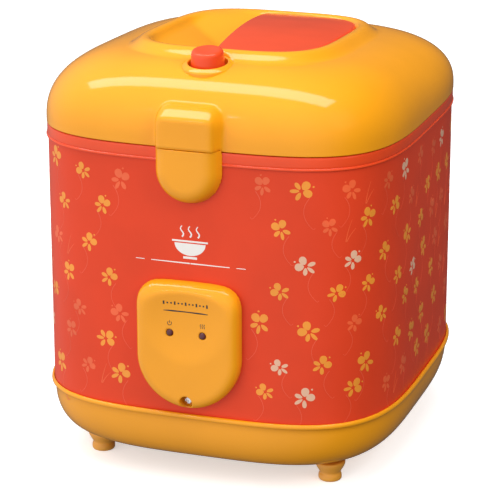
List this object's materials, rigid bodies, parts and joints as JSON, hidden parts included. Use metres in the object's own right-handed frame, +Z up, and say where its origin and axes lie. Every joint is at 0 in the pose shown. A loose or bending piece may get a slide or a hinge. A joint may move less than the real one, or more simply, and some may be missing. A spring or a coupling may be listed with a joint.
{
  "type": "rice cooker",
  "caption": "Upright rounded-square rice cooker on small feet with a hinged domed lid, sunk lid grip, push-button latch and front control panel.",
  "frame": {"origin": "centre of the bounding box on the floor plane", "axes": "+Z up, front with the control panel towards -Y, hinge towards +Y, +X to the right seen from the front"},
  "size_m": [0.2142, 0.2424, 0.2473],
  "materials": {
    "yellow_plastic": "glossy warm yellow moulded plastic",
    "red_plastic": "glossy orange-red moulded plastic",
    "printed_casing": "glossy orange-red casing with a small flower print",
    "foot_plastic": "satin warm yellow plastic",
    "steel_plate": "zinc plated sheet steel",
    "screw_steel": "zinc plated steel",
    "chrome": "chromed steel",
    "spring_steel": "bright spring wire",
    "aluminium_sheet": "satin spun aluminium",
    "cast_aluminium": "cast and turned aluminium",
    "element_sheath": "dark oxidised sheath",
    "heater_foil": "foil faced band heater",
    "fuse_sleeve": "glass fibre sleeve",
    "pot_coating": "dark non-stick coating",
    "black_plastic": "black moulded plastic",
    "circuit_board": "green circuit board",
    "pin_brass": "plated brass",
    "lead_sleeve": "white insulated wire",
    "inner_cover_plastic": "off-white heat resistant plastic",
    "silicone": "translucent white silicone",
    "latch_plastic": "natural nylon",
    "lamp_lens": "dark red tinted lens"
  },
  "bodies": {
    "body": {"base_shell": "yellow_plastic", "bottom_plate": "steel_plate", "bottom_screws": "screw_steel", "outer_casing": "printed_casing", "top_collar": "red_plastic", "inner_liner": "aluminium_sheet", "keep_warm_band": "heater_foil", "heating_plate": "cast_aluminium", "heating_element": "element_sheath", "plate_legs": "steel_plate", "thermostat_housing": "steel_plate", "thermostat_spring": "spring_steel", "thermal_fuse": "fuse_sleeve", "inner_pot": "pot_coating", "control_panel": "yellow_plastic", "panel_bar": "black_plastic", "lamp_board": "circuit_board", "panel_screw": "chrome", "catch_cover": "yellow_plastic", "catch_strike": "screw_steel", "hinge_bracket": "red_plastic", "hinge_pin": "screw_steel", "hinge_springs": "spring_steel", "hinge_screws": "screw_steel", "power_inlet": "black_plastic", "inlet_pins": "pin_brass", "inlet_screws": "screw_steel", "supply_leads": "lead_sleeve", "lamp_leads": "lead_sleeve", "power_lamp_lens": "lamp_lens", "warm_lamp_lens": "lamp_lens", "foot_front_left": "foot_plastic", "foot_front_right": "foot_plastic", "foot_rear_left": "foot_plastic", "foot_rear_right": "foot_plastic"},
    "lid": {"lid_shell": "yellow_plastic", "grip_panel": "red_plastic", "lid_inner_cover": "inner_cover_plastic", "lid_screws": "screw_steel", "lid_inner_plate": "aluminium_sheet", "plate_grommet": "silicone", "lid_seal": "silicone", "steam_duct": "inner_cover_plastic", "lid_hinge_arm": "yellow_plastic", "button_guide": "inner_cover_plastic", "button_spring": "spring_steel", "latch_pin": "screw_steel", "latch_bracket": "screw_steel", "latch_spring": "spring_steel"},
    "thermostat_cap": {"thermostat_cap": "aluminium_sheet"},
    "steam_cap": {"steam_cap": "yellow_plastic"},
    "release_button": {"release_button": "red_plastic"},
    "latch_hook": {"latch_hook": "latch_plastic"}
  },
  "joints": [
    {"name": "lid_hinge", "type": "hinge", "parent": "body", "child": "lid", "pos_m": [0, 0.115, 0.202], "axis": [-1, 0, 0], "range_deg": [0, 82]},
    {"name": "button_press", "type": "slide", "parent": "lid", "child": "release_button", "axis": [0, 0.1392, -0.9903], "range_m": [0, 0.003], "stiffness_N_per_m": 350, "springref_m": -0.003, "deforming": ["button_spring"]},
    {"name": "latch_swing", "type": "hinge", "parent": "lid", "child": "latch_hook", "pos_m": [0, -0.104, 0.207], "axis": [-1, 0, 0], "range_deg": [0, 7]},
    {"name": "steam_cap_lift", "type": "slide", "parent": "lid", "child": "steam_cap", "axis": [0, 0.2588, 0.9659], "range_m": [0, 0.025]},
    {"name": "thermostat_press", "type": "slide", "parent": "body", "child": "thermostat_cap", "axis": [0, 0, -1], "range_m": [0, 0.002], "stiffness_N_per_m": 600, "springref_m": -0.003, "deforming": ["thermostat_spring"]}
  ],
  "couplings": [
    {"joint": "latch_swing", "follows": "button_press", "rad_per_m": 40}
  ]
}
